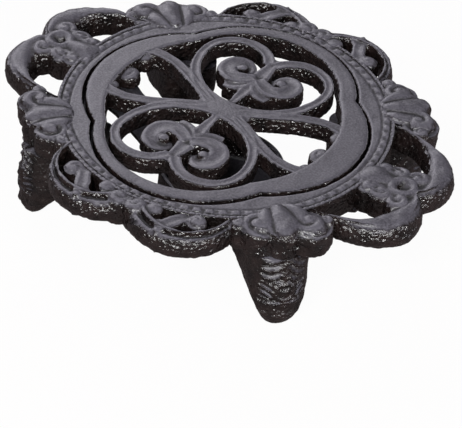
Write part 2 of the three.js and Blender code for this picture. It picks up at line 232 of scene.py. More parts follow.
def bezier(a, b, c, d, t):
    """A curve from a towards b and from c to d: the four weighted by the terms of the cube of
    (1 - t) + t."""
    return (1 - t) ** 3 * a + 3 * t * (1 - t) ** 2 * b + 3 * t * t * (1 - t) * c + t**3 * d


print("a closed loop through 4 points, in 8 steps:",
      smooth_loop(np.array([[1.0, 0], [0, 1], [-1, 0], [0, -1]]), 8).round(2).tolist()[1])


# %% Shells into finished pieces
CUT_EDGE = 45.0  # degrees, the bend at which a drilled edge stays crisp
LUMP_SIZE, GRIT_SIZE = 4.0, 1.05  # millimetres across
GRIT_SEED = 31.7
BEND_SPAN = 1.1  # bend, one over millimetres, that counts as fully hollow
EVENING_ROUNDS = 10


def cast(name, shells):
    """One smooth mesh object, in metres at the origin, from a list of shells."""
    counts = np.cumsum([0] + [len(p) for p, _ in shells[:-1]])
    points = np.concatenate([p for p, _ in shells]) * MM
    triangles = np.concatenate([t + n for (_, t), n in zip(shells, counts)])
    mesh = bpy.data.meshes.new(name)
    mesh.vertices.add(len(points))
    mesh.vertices.foreach_set("co", points.ravel())
    mesh.loops.add(triangles.size)
    mesh.loops.foreach_set("vertex_index", triangles.ravel().astype(np.int32))
    mesh.polygons.add(len(triangles))
    mesh.polygons.foreach_set("loop_start", np.arange(0, triangles.size, 3, dtype=np.int32))
    mesh.update(calc_edges=True)
    mesh.validate()
    mesh.shade_smooth()
    piece = bpy.data.objects.new(name, mesh)
    bpy.context.scene.collection.objects.link(piece)
    return piece


def bake(piece):
    """Puts what the modifiers show into the mesh, and leaves no modifier behind."""
    shown = piece.evaluated_get(bpy.context.evaluated_depsgraph_get())
    piece_mesh = bpy.data.meshes.new_from_object(shown)
    piece.modifiers.clear()
    piece.data = piece_mesh
    piece_mesh.name = piece.name
    piece_mesh.shade_smooth()


def fuse(piece, grain):
    """Grows one skin over overlapping shells, as metal does in one mould: a voxel remesh of
    the given grain in millimetres, and two rounds of smoothing to leave small fillets."""
    remesh = piece.modifiers.new("fuse", "REMESH")
    remesh.mode, remesh.voxel_size, remesh.use_smooth_shade = "VOXEL", grain * MM, True
    smooth = piece.modifiers.new("soften", "SMOOTH")
    smooth.factor, smooth.iterations = 0.5, 2
    bake(piece)


def drill(piece, cutter):
    """Cuts one closed shell out of a piece, and keeps the edges of the cut crisp."""
    tool = cast("tool", [cutter])
    cut = piece.modifiers.new("drill", "BOOLEAN")
    cut.operation, cut.solver, cut.object = "DIFFERENCE", "EXACT", tool
    bake(piece)
    bpy.data.objects.remove(tool)
    piece.data.set_sharp_from_angle(angle=math.radians(CUT_EDGE))


def lattice_noise(points, cell, seed=0.0):
    """Noise from -1 to 1: a fixed scrambled number at each corner of a lattice of cells, blended
    smoothly between corners. The scrambling is the fraction of a large multiple of a sine."""
    at = points / cell + seed
    low = np.floor(at)
    f = at - low
    f = f * f * (3 - 2 * f)
    total = np.zeros(len(points))
    for corner in np.ndindex(2, 2, 2):
        here = (low + corner) @ np.array((12.9898, 78.233, 37.719))
        scrambled = np.modf(np.abs(np.sin(here)) * 43758.5453)[0]
        weight = np.prod(np.where(corner, f, 1 - f), axis=1)
        total += weight * scrambled
    return 2 * total - 1


def points_and_normals(mesh):
    """The places of a mesh's points, in metres, and their normals."""
    found = []
    for name in ("co", "normal"):
        values = np.zeros(len(mesh.vertices) * 3, np.float32)
        mesh.vertices.foreach_get(name, values)
        found.append(values.reshape(-1, 3))
    return found


def roughen(piece, lumps, grit):
    """Moves each point along its normal, by up to lumps and grit in millimetres: everywhere by
    the lumps of a hand-made mould, and by the sand's grit, mostly on walls. Nothing sinks below
    the floor."""
    mesh = piece.data
    co, normals = (values.astype(float) for values in points_and_normals(mesh))
    walls = ease(0.9, 0.4, normals[:, 2])
    out = lumps * lattice_noise(co / MM, LUMP_SIZE)
    out = out + grit * (0.15 + 0.85 * walls) * lattice_noise(co / MM, GRIT_SIZE, GRIT_SEED)
    co = co + normals * out[:, None] * MM
    co[:, 2] = np.maximum(co[:, 2], 0)
    mesh.vertices.foreach_set("co", co.astype(np.float32).ravel())
    mesh.update()


def hollows(mesh):
    """How hollow each point's surroundings are: 0.5 where flat, 1 in a groove, 0 on a ridge.
    It is twice the rise along the point's normal over the squared length, both summed over its
    edges, which is one over the bend's radius, evened out over about a millimetre."""
    count = len(mesh.vertices)
    co, normals = points_and_normals(mesh)
    co = co / MM
    ends = np.zeros(len(mesh.edges) * 2, np.int32)
    mesh.edges.foreach_get("vertices", ends)
    i, j = ends.reshape(-1, 2).T
    way = co[j] - co[i]
    length_2 = np.maximum(np.einsum("ij,ij->i", way, way), 1e-4)
    rise_i = np.einsum("ij,ij->i", normals[i], way)
    rise_j = -np.einsum("ij,ij->i", normals[j], way)
    edges_met = np.maximum(np.bincount(i, minlength=count) + np.bincount(j, minlength=count), 1)
    bend = np.bincount(i, 2 * rise_i, count) + np.bincount(j, 2 * rise_j, count)
    bend /= np.bincount(i, length_2, count) + np.bincount(j, length_2, count) + 1e-6
    for _ in range(EVENING_ROUNDS):
        met = np.bincount(i, bend[j], count) + np.bincount(j, bend[i], count)
        bend = 0.5 * bend + 0.5 * met / edges_met
    return np.clip(0.5 + bend / BEND_SPAN, 0, 1)


def finish_piece(piece, material, body, slot, *nodes):
    """Gives a piece its finish and its body, and hides the solids it stands for. The finish reads
    two attributes: 'upward', how far each point faces up, tells top faces from walls, and
    'hollow' tells grooves from ridges."""
    mesh = piece.data
    upward = ease(0.3, 0.97, points_and_normals(mesh)[1][:, 2])
    for name, values in (("hollow", hollows(mesh)), ("upward", upward)):
        attribute = mesh.attributes.new(name, "FLOAT", "POINT")
        attribute.data.foreach_set("value", values.astype(np.float32))
    mesh.materials.clear()
    mesh.materials.append(material)
    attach(piece, body)
    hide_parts(*nodes)
    print(piece.name, "triangles:", len(mesh.loops) - 2 * len(mesh.polygons))


def pour(name, shells, material, body, node, lumps, grit, grain=0):
    """One casting: its shells, fused into one skin where a grain is given, then roughened as
    sand leaves it, and finished."""
    piece = cast(name, shells)
    if grain:
        fuse(piece, grain)
    roughen(piece, lumps, grit)
    finish_piece(piece, material, body, "cast_iron", node)


print("grit at three points:", lattice_noise(np.eye(3), GRIT_SIZE, GRIT_SEED).round(2))


# %% [markdown]
# ## The finish
# Thin black paint over sand-cast iron. The top faces are coloured a matte slate grey, lighter than
# the walls, with the sand's fine tooth in it. That grey is painted sheen, standing in for the light
# from above. The walls are glossier and near black, with a brown tint that is a painted reflection,
# small grains that catch the light as white specks, and pale specks that are painted glints. One
# material does both: the piece's own 'upward' attribute mixes two sets of colour, roughness and
# relief, and noise in object space keeps the two from meeting in a clean line. Its 'hollow'
# attribute darkens grooves as painted shade, and lightens ridges as wear and as a painted
# highlight.


# %% Node helpers
class Nodes:
    """Short calls for building one material's node tree."""

    def __init__(self, name):
        self.material = bpy.data.materials.new(name)
        self.material.use_nodes = True
        self.tree = self.material.node_tree
        self.shader = self.tree.nodes["Principled BSDF"]

    def feed(self, socket, value):
        """Links another node's output to a socket, or sets a plain value on it."""
        if isinstance(value, bpy.types.NodeSocket):
            self.tree.links.new(value, socket)
        else:
            socket.default_value = value

    def fill(self, node, **sockets):
        """Feeds a node's sockets by name, spaces written as underscores."""
        for key, value in sockets.items():
            self.feed(node.inputs[key.replace("_", " ")], value)
        return node

    def add(self, kind, **sockets):
        """A new node with its sockets filled."""
        return self.fill(self.tree.nodes.new(kind), **sockets)

    def attribute(self, name):
        """A number that each point of the piece carries."""
        node = self.add("ShaderNodeAttribute")
        node.attribute_name = name
        return node.outputs["Fac"]

    def noise(self, where, per_metre, detail, roughness=0.55):
        """Soft noise from 0 to 1, with so many lumps to the metre."""
        node = self.add("ShaderNodeTexNoise", Vector=where, Scale=per_metre, Detail=detail,
                        Roughness=roughness)
        return node.outputs["Fac"]

    def spread(self, value, low, high, to_low=0.0, to_high=1.0):
        """Maps low..high onto to_low..to_high, and holds the ends."""
        node = self.add("ShaderNodeMapRange", Value=value, From_Min=low, From_Max=high,
                        To_Min=to_low, To_Max=to_high)
        return node.outputs["Result"]

    def sums(self, kind, a, b):
        """One step of arithmetic on two numbers."""
        node = self.add("ShaderNodeMath")
        node.operation = kind
        self.feed(node.inputs[0], a)
        self.feed(node.inputs[1], b)
        return node.outputs["Value"]

    def blend(self, share, a, b, kind="RGBA"):
        """A colour, or with kind FLOAT a number, at a share of the way from a to b."""
        node = self.add("ShaderNodeMix")
        node.data_type = kind
        first, out = {"RGBA": (6, 2), "FLOAT": (2, 0)}[kind]
        for place, value in ((0, share), (first, a), (first + 1, b)):
            self.feed(node.inputs[place], value)
        return node.outputs[out]

    def bump(self, height, strength, depth, under=None):
        """Relief of a depth in metres, on top of another relief where one is given."""
        node = self.add("ShaderNodeBump", Height=height, Strength=strength, Distance=depth)
        if under:
            self.feed(node.inputs["Normal"], under)
        return node.outputs["Normal"]


# %% Painted cast iron
CLOUDS, LUMPS, SAND, GRAINS = 160.0, 420.0, 1500.0, 700.0  # to the metre
GRAIN_DEPTH, TOOTH_DEPTH = 0.00036, 0.00008  # metres
# Top-face colours, lighter than the walls: painted sheen standing in for the light from above.
TOP_SHEEN_DARK, TOP_SHEEN = (0.022, 0.020, 0.026, 1), (0.040, 0.037, 0.047, 1)
TOP_SHEEN_SAND, RIDGE_WEAR_AND_HIGHLIGHT = (0.066, 0.062, 0.074, 1), (0.095, 0.090, 0.108, 1)
GROOVE_SHADE = (0.008, 0.007, 0.008, 1)
# Walls: near-black paint, mixed with a brown tint that is a painted reflection.
WALL_DARK, WALL_BROWN_REFLECTION = (0.0030, 0.0024, 0.0024, 1), (0.0105, 0.0064, 0.0060, 1)
# Pale specks on the walls: painted glints.
WALL_GLINT_SPECK = (0.025, 0.020, 0.019, 1)


def painted_iron(name, top_tooth=1.0, wall_grain=1.0, wall_matte=0.0):
    """Colour, roughness and relief, each a blend of a wall's and a top face's. The share of
    top is 'upward' plus soft lumps. The top face's slate colour is painted sheen from the light
    above. Its grooves get painted shade, and its ridges get wear and a painted highlight. The
    wall's colour is black paint with a painted brown reflection and painted glint specks. top_tooth
    and wall_grain scale the relief of the two, and wall_matte is added to the wall's roughness."""
    n = Nodes(name)
    place = n.add("ShaderNodeTexCoord").outputs["Object"]
    facing, bend = n.attribute("upward"), n.attribute("hollow")
    groove, ridge = n.spread(bend, 0.54, 0.80), n.spread(bend, 0.44, 0.20)
    cloud, lumps = n.noise(place, CLOUDS, 4.0), n.noise(place, LUMPS, 2.0)
    sand = n.noise(place, SAND, 3.0, 0.6)
    uneven = n.sums("MULTIPLY", n.sums("SUBTRACT", lumps, 0.5), 0.7)
    top = n.spread(n.sums("ADD", facing, uneven), 0.15, 0.9)

    # The top's slate colour is painted sheen, with random cloud and sand tone in it.
    slate = n.blend(n.spread(cloud, 0.3, 0.7), TOP_SHEEN_DARK, TOP_SHEEN)
    slate = n.blend(n.spread(sand, 0.42, 0.62), slate, TOP_SHEEN_SAND)
    # Ridges are lightened, partly as wear and partly as a painted highlight.
    slate = n.blend(n.sums("MULTIPLY", ridge, 0.45), slate, RIDGE_WEAR_AND_HIGHLIGHT)
    # Grooves are darkened: painted shade.
    slate = n.blend(n.sums("MULTIPLY", groove, 0.85), slate, GROOVE_SHADE)
    # The wall's colour is black paint with a painted brown reflection.
    wall = n.blend(n.spread(cloud, 0.35, 0.65), WALL_DARK, WALL_BROWN_REFLECTION)
    # Pale specks on the walls are painted glints.
    wall = n.blend(n.spread(sand, 0.58, 0.74), wall, WALL_GLINT_SPECK)

    rough_top = n.sums("ADD", n.spread(sand, 0.3, 0.7, 0.50, 0.38), n.sums("MULTIPLY", groove, 0.5))
    rough_wall = n.spread(cloud, 0.3, 0.7, 0.13 + wall_matte, 0.24 + wall_matte)

    cells = n.add("ShaderNodeTexVoronoi", Vector=place, Scale=GRAINS).outputs["Distance"]
    grit = n.spread(cells, 0.10, 0.80, 1.0, 0.0)
    soft = n.sums("MULTIPLY", lumps, 1.5)
    on_wall = n.sums("MULTIPLY", n.sums("ADD", grit, soft), n.sums("SUBTRACT", 1.0, top))
    coarse = n.bump(on_wall, wall_grain, GRAIN_DEPTH)
    fine = n.bump(n.sums("ADD", sand, soft), 0.8 * top_tooth, TOOTH_DEPTH, under=coarse)

    # Top faces take the painted sheen colour, and walls take black paint with its painted
    # reflection.
    n.fill(n.shader, Base_Color=n.blend(top, wall, slate), Specular_IOR_Level=0.5, Normal=fine,
           Roughness=n.blend(top, rough_wall, rough_top, "FLOAT"))
    return n.material


iron = painted_iron("painted_cast_iron")
grille_iron = painted_iron("painted_cast_iron_grille", top_tooth=0.7, wall_grain=1.3)
leg_iron = painted_iron("painted_cast_iron_leg", wall_grain=0.9, wall_matte=0.1)
print("painted finishes:", iron.name, grille_iron.name, leg_iron.name)

# %% Screw steel
STAINS, SCRATCHES, SCRATCH_DEPTH = 500.0, 2600.0, 0.00005
STEEL_DARK, STEEL_PALE = (0.10, 0.10, 0.105, 1), (0.22, 0.215, 0.21, 1)


def blued_steel(name):
    """Steel with soft stains that change its colour and roughness together."""
    n = Nodes(name)
    place = n.add("ShaderNodeTexCoord").outputs["Object"]
    stain = n.noise(place, STAINS, 4.0)
    colour = n.blend(n.spread(stain, 0.35, 0.7), STEEL_DARK, STEEL_PALE)
    n.fill(n.shader, Base_Color=colour, Metallic=0.9,
           Roughness=n.spread(stain, 0.3, 0.7, 0.30, 0.5),
           Normal=n.bump(n.noise(place, SCRATCHES, 2.0), 0.35, SCRATCH_DEPTH))
    return n.material


steel = blued_steel("blued_screw_steel")
print("screw finish:", steel.name)

# %% [markdown]
# ## The flat band and its recess
# The band is the frame's flat ring. Inside it the grille drops into a recess of four arcs, on a
# ledge. Near its outer edge run a ring of flattened beads and a thin raised line with small
# notches. The outline of four arcs has one distance from the middle at every angle, so the
# whole band is one profile carried round the circle. Its top and underside are read from the
# solids, and the ledge lies a seat gap below the grille.


# %% Heights and outlines shared by the castings
def span(node):
    """A solid's lowest and highest corner, in millimetres to a hundredth."""
    return (np.array(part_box(node)) / MM).round(2)


UNDER = span("frame")[0, 2]
GRILLE_UNDER, TOP = span("grille")[:, 2]
SEAT_GAP = 0.3
LEDGE = GRILLE_UNDER - SEAT_GAP
LOBE_X, LOBE_X_R = 13.4, 37.8
LOBE_Y, LOBE_Y_R = 16.8, 36.8
BAND_R = 58.8
LEDGE_WIDTH, RECESS_PLAY = 3.2, 0.9
BEADS, BEAD_RING = 80, 55.9


def four_arcs(angle, x_centre, x_radius, y_centre, y_radius):
    """Distance from the middle to an outline of four arcs: along a ray the far crossing with a
    circle is c + sqrt(R squared - s squared), where c and s are the centre's distance along
    and across the ray. The larger of the two pairs of circles is the outline."""
    c, s = np.abs(np.cos(angle)), np.abs(np.sin(angle))
    side = c * x_centre + np.sqrt(x_radius**2 - (x_centre * s) ** 2)
    end = s * y_centre + np.sqrt(y_radius**2 - (y_centre * c) ** 2)
    return np.maximum(side, end)


print("frame's underside:", UNDER, "mm, grille:", GRILLE_UNDER, "to", TOP, "mm")

# %% The band
angle = around(1440)
opening = four_arcs(angle, LOBE_X, LOBE_X_R - LEDGE_WIDTH, LOBE_Y, LOBE_Y_R - LEDGE_WIDTH)
recess = four_arcs(angle, LOBE_X, LOBE_X_R + RECESS_PLAY, LOBE_Y, LOBE_Y_R + RECESS_PLAY)


def bead_relief(r, angle):
    """Height added to the band's top: flattened beads, where one cosine turn to a bead is
    squared off, times a rounded ridge along the bead ring; a raised line outside it, nicked
    twice for each bead; and a furrow on either side of the beads."""
    across = np.clip(1 - ((r - BEAD_RING) / 1.35) ** 2, 0, None)
    worn = 0.75 + 0.25 * np.sin(7 * angle + 1) * np.sin(23 * angle)
    wave = np.cos(BEADS * angle + 0.3 * np.sin(11 * angle))
    beads = 0.62 * worn * across**0.8 * (0.12 + 0.88 * ease(-0.95, 0.5, wave))
    nicks = 0.6 * ease(0.2, 0.9, np.cos(2 * BEADS * angle)) * ease(58.5, 58.0, r)
    line = 0.34 * ease(57.35, 57.8, r) * (1 - nicks)
    furrow = -0.22 * np.exp(-((r - 57.2) / 0.3) ** 2) - 0.15 * np.exp(-((r - 54.2) / 0.4) ** 2)
    return beads + line + furrow


def build_band():
    """Profile going round: up the ledge's inner wall, out along the ledge, up the recess wall,
    out along the top with its relief, down the outer wall, and back underneath."""
    flat = np.linspace(0, 1, 44)[:, None]
    r_top = recess + 0.75 + flat * (BAND_R - 0.5 - recess - 0.75)
    z_top = TOP - 0.45 + 0 * r_top + bead_relief(r_top, angle)
    inside = [
        (opening + 0.5, UNDER), (opening + 0.1, UNDER + 0.3), (opening, UNDER + 1.6),
        (opening, LEDGE - 0.5), (opening + 0.15, LEDGE - 0.1), (opening + 0.6, LEDGE),
        (recess - 0.8, LEDGE), (recess - 0.2, LEDGE + 0.1), (recess, LEDGE + 0.5),
        (recess, TOP - 2.4), (recess + 0.05, TOP - 1.2), (recess + 0.2, TOP - 0.75),
        (recess + 0.45, TOP - 0.52),
    ]
    outside = [
        (BAND_R - 0.2, TOP - 0.3), (BAND_R - 0.03, TOP - 0.7), (BAND_R, TOP - 1.5),
        (BAND_R, UNDER + 3.0), (BAND_R - 0.05, UNDER + 0.9), (BAND_R - 0.35, UNDER + 0.25),
        (BAND_R - 1.0, UNDER),
    ]

    def rows(wall, part):
        """The radii (part 0) or heights (part 1) of a wall's knots, a row for each knot."""
        return np.stack([knot[part] + 0 * angle for knot in wall])

    r = np.concatenate([rows(inside, 0), r_top, rows(outside, 0)])
    z = np.concatenate([rows(inside, 1), z_top, rows(outside, 1)])
    return shell(np.stack([r * np.cos(angle), r * np.sin(angle), z], -1), ring=True)


pour("band", [build_band()], iron, "base", "frame", lumps=0.1, grit=0.08)

# %% [markdown]
# ## The scrolls of the rim
# Each side has two fat rounded tubes that run from a corner leaf to the middle of the side. In
# the mould they need draft, so the opening inside each is wider at the top than underneath.
# Their backs are rounded, with a shallow step near the outer edge, and their free ends hang
# fuller and a little deeper. The tubes at front and back have two ridges with a groove
# between. All are lofts: at each angle about the opening's middle, a profile stretches from
# the opening's edge to the outline of the scroll.


# %% Loft of a scroll
def ray_to_ellipse(x, y, angle, cx, cy, rx, ry):
    """Distance from (x, y) to an ellipse along a ray: the larger root of the quadratic got by
    putting the ray's point into the ellipse's equation."""
    dx, dy = np.cos(angle) / rx, np.sin(angle) / ry
    ox, oy = (x - cx) / rx, (y - cy) / ry
    a, b, c = dx * dx + dy * dy, dx * ox + dy * oy, ox * ox + oy * oy - 1
    return (-b + np.sqrt(np.maximum(b * b - a * c, 0))) / a


STEPS, SAMPLES = 220, 64  # along a tube and round its profile
LEAST_WALL = 2.4
FREE_END, BELLY_END = 5, 42  # degrees between which the belly fades out


def scroll_tube(hole, outline, span, top_hole, knots, belly=0.0):
    """hole and top_hole are (x, y, radius) of the opening underneath and at the top, outline is
    the ellipse (x, y, rx, ry). Each knot of the profile is (base, top, outer, offset, height):
    shares of the three distances from the opening's middle, plus an offset in millimetres that
    shrinks where the tube is narrow. belly is how far the lower half hangs deeper and fuller
    at the free end, fading out towards the leg."""
    angle = np.radians(np.linspace(*span, STEPS))
    base = np.full(STEPS, hole[2])
    outer = ray_to_ellipse(hole[0], hole[1], angle, *outline)
    top = ray_to_ellipse(hole[0], hole[1], angle, *top_hole, top_hole[2])
    outer = np.maximum(outer, base + LEAST_WALL)
    narrow = np.clip((outer - base) / 6.0, 0.35, 1.0)
    top = np.clip(top, base, outer - 3.0 * narrow)
    radii = np.stack([k[0] * base + k[1] * top + k[2] * outer + k[3] * narrow for k in knots])
    heights = np.stack([np.full(STEPS, k[4]) for k in knots])
    r, z = smooth_loop(radii, SAMPLES), smooth_loop(heights, SAMPLES)
    low = belly * ease(BELLY_END, FREE_END, np.degrees(angle)) * np.clip((36 - z) / 6, 0, 1)
    r, z = r + 0.6 * low * ease(0.3, 0.7, (r - base) / (outer - base)), z - low
    x, y = hole[0] + r * np.cos(angle), hole[1] + r * np.sin(angle)
    return shell(np.stack([x, y, z], -1).transpose(1, 0, 2))


def shared(weights, *knots):
    """Knots that share the weights of the three distances."""
    return [(*weights, *knot) for knot in knots]


HOLE, OUTER = (1, 0, 0), (0, 0, 1)
SIDE_KNOTS = [
    *shared(HOLE, (1.1, 30.0), (0.25, 30.7), (0, 32.0)),
    (0.94, 0.06, 0, 0, 34.2), (0.8, 0.2, 0, 0, 36.3), (0.55, 0.45, 0, 0, 38.1),
    (0.25, 0.75, 0, 0, 39.2), (0, 1, 0, 0.1, 39.85), (0, 0.75, 0.25, 0, 40.1),
    (0, 0.5, 0.5, 0, 40.05),
    *shared(OUTER, (-2.5, 39.6), (-1.9, 39.05), (-1.5, 38.85), (-0.8, 37.9), (-0.25, 36.6),
            (0, 35.0), (-0.2, 33.4), (-1.0, 31.7), (-2.2, 30.5), (-3.8, 30.0)),
]
END_HOLE = (17.6, 49.6, 14.6)
END_KNOTS = [
    *shared(HOLE, (0.9, 30.0), (0.1, 31.0), (0, 33.6), (0.2, 36.6), (0.5, 38.6), (1.0, 39.8)),
    (0.9, 0, 0.1, 1.0, 40.1), (0.75, 0, 0.25, 0.6, 39.5), (0.62, 0, 0.38, 0, 37.9),
    (0.5, 0, 0.5, 0.0, 37.7), (0.36, 0, 0.64, 0, 38.6),
    *shared(OUTER, (-2.4, 38.9), (-1.2, 38.0), (-0.4, 36.5), (0, 34.7), (-0.15, 32.9),
            (-0.8, 31.4), (-1.8, 30.4), (-2.8, 30.0)),
]
side_tube = scroll_tube(hole=(54.0, 9.5, 17.6), outline=(63.0, 11.2, 19.6, 17.3), span=(-62, 100),
                        top_hole=(53.2, 4.6, 23.6), knots=SIDE_KNOTS, belly=1.2)
end_tube = scroll_tube(hole=END_HOLE, outline=(15.7, 50.3, 19.7, 19.8), span=(-12, 158),
                       top_hole=END_HOLE, knots=END_KNOTS)
print("side tube outline reaches x =", side_tube[0][:, 0].max().round(2),
      "and end tube y =", end_tube[0][:, 1].max().round(2))

# %% [markdown]
# ## Knobs, buds and curled lobes
# Where scrolls meet, and at the corners, the casting has small curled lobes: a wall, a rounded
# shoulder, and on top a spiral that winds in to an eye. Each is a polar relief: rings of points
# run from the middle of the top out over the shoulder, down the wall and in underneath.


# %% Polar reliefs
KNOB_COLUMNS, EYE_SHARE = 120, 0.42


def knob(x, y, radius, top, curl=0.0, turns=1.0, hand=1, eye=0.0, flutes=0, flute=0.0, fan=None,
         dome=1.4, floor=UNDER, stretch=1.0, lean=0.0, wall_flutes=0, lip=0.0):
    """Height over the share f of the radius and the angle a: the top, less a dome that grows
    with f to the fourth, plus a spiral ridge, the root of |sin| of half the phase
    (turns f - a), less a pit at the eye. With fan, a point in plan, flutes spread from that
    point: the root of |cos| of half their number times the direction. The plan is a circle
    stretched along the direction lean. Its wall may be fluted, and stand back under the top's
    edge by the share lip."""
    a = around(KNOB_COLUMNS)
    f = np.concatenate([np.linspace(0.02, 0.9, 26), [0.95, 0.985]])[:, None]
    phase = 2 * np.pi * turns * f - hand * a
    ridge = np.sqrt(np.abs(np.sin(phase / 2)) + 1e-4) - 1
    z = top - dome * f**4 + curl * ridge * ease(0.05, 0.3, f) * ease(1.0, 0.8, f)
    c, s = math.cos(math.radians(lean)), math.sin(math.radians(lean))
    if fan:
        u, v = radius * f * np.cos(a) * stretch, radius * f * np.sin(a)
        spread = np.arctan2(y + u * s + v * c - fan[1], x + u * c - v * s - fan[0])
        spread = spread - math.atan2(y - fan[1], x - fan[0])
        ribs = np.sqrt(np.abs(np.cos(flutes * spread / 2))) - 0.6
        z = z + flute * ribs * ease(1.0, 0.8, f)
    z = z - eye * np.exp(-((f / EYE_SHARE) ** 2))
    side = np.array([0.08, 0.2, 0.4, 0.6, 0.8, 0.93, 1.0])[:, None]
    edge = z[-1:] + (floor - z[-1:]) * side
    wave = 0.055 * np.cos(wall_flutes * a) * np.sin(np.pi * side) if wall_flutes else 0.0
    grow = np.where(side < 0.9, 1.0 + 0.015 * side, 0.985) - lip * ease(0.1, 0.45, side) + wave
    share = np.concatenate([f + 0 * a, grow + 0 * a])
    height = np.concatenate([z, edge])
    along, across = radius * share * np.cos(a) * stretch, radius * share * np.sin(a)
    return shell(np.stack([x + along * c - across * s, y + along * s + across * c, height], -1))


print("points in a knob:", len(knob(0, 0, 1, TOP)[0]))

# %% Side groups
RIM_SAND = {"grain": 0.42, "lumps": 0.36, "grit": 0.2}  # millimetres
side_bud = [
    knob(61.0, 0.0, 6.6, 40.6, flutes=10, flute=1.4, dome=1.2, fan=(74.0, 0.0)),
    knob(70.4, 0.0, 5.4, 41.1, dome=1.2, floor=31, eye=3.8),
]
side_pairs = [
    knob(73.0, 7.0, 4.8, 40.6, curl=1.4, turns=1.1, dome=2.4, wall_flutes=3),
    knob(60.4, 5.4, 4.2, 40.4, curl=1.2, hand=-1, dome=1.9),
    knob(66.0, 6.2, 4.0, 40.3, curl=1.1, dome=2.2, stretch=1.25, lean=-20, lip=0.05),
]
side_shells = with_mirror([side_tube] + side_pairs, 1, -1) + side_bud
for name, sx in (("side_scrolls_right", 1), ("side_scrolls_left", -1)):
    pour(name, [flip_plan(one, sx, 1) for one in side_shells], iron, "base", "frame", **RIM_SAND)


# %% Swept bars
BAR_COLUMNS = 40
# Half the profile, then all of it: share of the half width, share of the height, drop.
ROUND_SIDE = [(0.3, 1, 0.22), (0.62, 1, 0), (0.84, 1, 0.2), (0.97, 0.88, 0), (1.0, 0.6, 0),
              (1.03, 0.12, 0), (0.85, 0, 0)]
ROUND_BAR = [(-out, *rest) for out, *rest in ROUND_SIDE[::-1]] + [(0, 1, 0.28)] + ROUND_SIDE


def bar(path, half_width, top, floor):
    """The round bar's profile carried along a path in plan, standing across the path's own
    direction. Half width, top and floor may change along the path."""
    path = np.asarray(path, float)
    step = np.gradient(path, axis=0)
    step /= np.linalg.norm(step, axis=1, keepdims=True)
    half, high, low = (np.broadcast_to(v, len(path)) for v in (half_width, top, floor))
    out, share, drop = (smooth_loop(np.array(part)[:, None], BAR_COLUMNS)
                        for part in zip(*ROUND_BAR))
    z = low + (high - low) * share - drop
    x = path[:, 0] + step[:, 1] * (out * half)
    y = path[:, 1] - step[:, 0] * (out * half)
    return shell(np.stack([x, y, z], -1).transpose(1, 0, 2))


print("knots in the bar's profile:", len(ROUND_BAR))

# %% End groups
strut_path = smooth_line([(22.0, 53.0), (20.0, 57.0), (17.9, 61.0), (16.6, 64.0), (14.0, 66.5)], 40)
strut_half = np.interp(np.arange(40), [0, 12, 30, 39], [3.4, 2.7, 2.8, 3.4])
end_half = [
    end_tube,
    bar(strut_path, strut_half, 39.4, UNDER),
    knob(3.4, 60.4, 4.4, 40.3, curl=1.0, turns=1.1, dome=1.8),
    knob(24.4, 56.4, 3.8, 40.0, curl=0.9, hand=-1, dome=1.8),
    knob(9.4, 58.4, 3.2, 39.9, dome=1.6),
]
end_shells = with_mirror(end_half, -1, 1)
for name, sy in (("end_scrolls_back", 1), ("end_scrolls_front", -1)):
    pour(name, [flip_plan(one, 1, sy) for one in end_shells], iron, "base", "frame", **RIM_SAND)

# %% [markdown]
# ## Corner leaves
# Over each leg the rim carries an acanthus leaf: a fluted root on the band, two curled lobes
# that stand proud of the rim, and a bud between them. Their walls are fluted down to the
# underside, which gives the leaf its scalloped lower edge. No two leaves of a real casting are
# quite alike, so each is nudged a little and may be grown about its root.

# %% Corner leaves
LEAF_ROOT = (40.0, 34.0, 0.0)
# Each corner: its signs in x and y, its leaf's nudge in millimetres and its growth.
CORNERS = {
    "front_right": (1, -1, (-1.2, -0.8), 1.0), "back_right": (1, 1, (0.5, 0.7), 1.02),
    "back_left": (-1, 1, (1.2, -1.4), 1.0), "front_left": (-1, -1, (0.8, 0.6), 1.0),
}
leaf_shells = [
    knob(56.4, 34.4, 7.1, 41.2, curl=2.2, turns=1.25, dome=3.4, wall_flutes=5, stretch=1.1,
         lean=-35, lip=0.06),
    knob(43.0, 44.7, 6.4, 41.1, curl=2.0, turns=1.25, hand=-1, dome=3.3, wall_flutes=5,
         stretch=1.08, lip=0.06),
    knob(50.6, 41.6, 5.6, 40.7, flutes=13, flute=1.5, dome=2.6, wall_flutes=5, stretch=1.08,
         lean=40, lip=0.07, fan=(39, 32)),
    knob(48.2, 38.2, 8.2, 40.9, flutes=15, flute=1.7, dome=1.6, stretch=1.2, lean=-50,
         wall_flutes=7, lip=0.05, fan=(34, 27.5)),
    knob(59.6, 29.8, 3.2, 40.3, curl=0.8, hand=-1, dome=2.4),
    knob(37.0, 47.6, 3.0, 40.2, curl=0.8, dome=2.4),
]
for corner, (sx, sy, nudge, growth) in CORNERS.items():
    root = np.array(LEAF_ROOT) * (sx, sy, 0)
    scale, shift = np.array((growth, growth, 1)), np.array((*nudge, 0))
    shells = [(root + (p - root) * scale + shift, f)
              for p, f in (flip_plan(one, sx, sy) for one in leaf_shells)]
    pour("corner_leaf_" + corner, shells, iron, "base", "frame", grain=0.34, lumps=0.3, grit=0.2)

# %% [markdown]
# ## The grille
# The loose grille is a flat ring with tracery in it: two hearts, point to point in the middle,
# fan bars to the sides, and in each heart a leaf whose thick ends curl over and droop. The
# ring is one profile carried round. The tracery is swept bars, fused so that each joint gets a
# small fillet. It stands a little off the ring's middle, as in the photograph.

# %% Grille ring
GRILLE_Y, TRACERY_X = 0.4, -1.3
GRILLE_TOP = TOP - 0.02


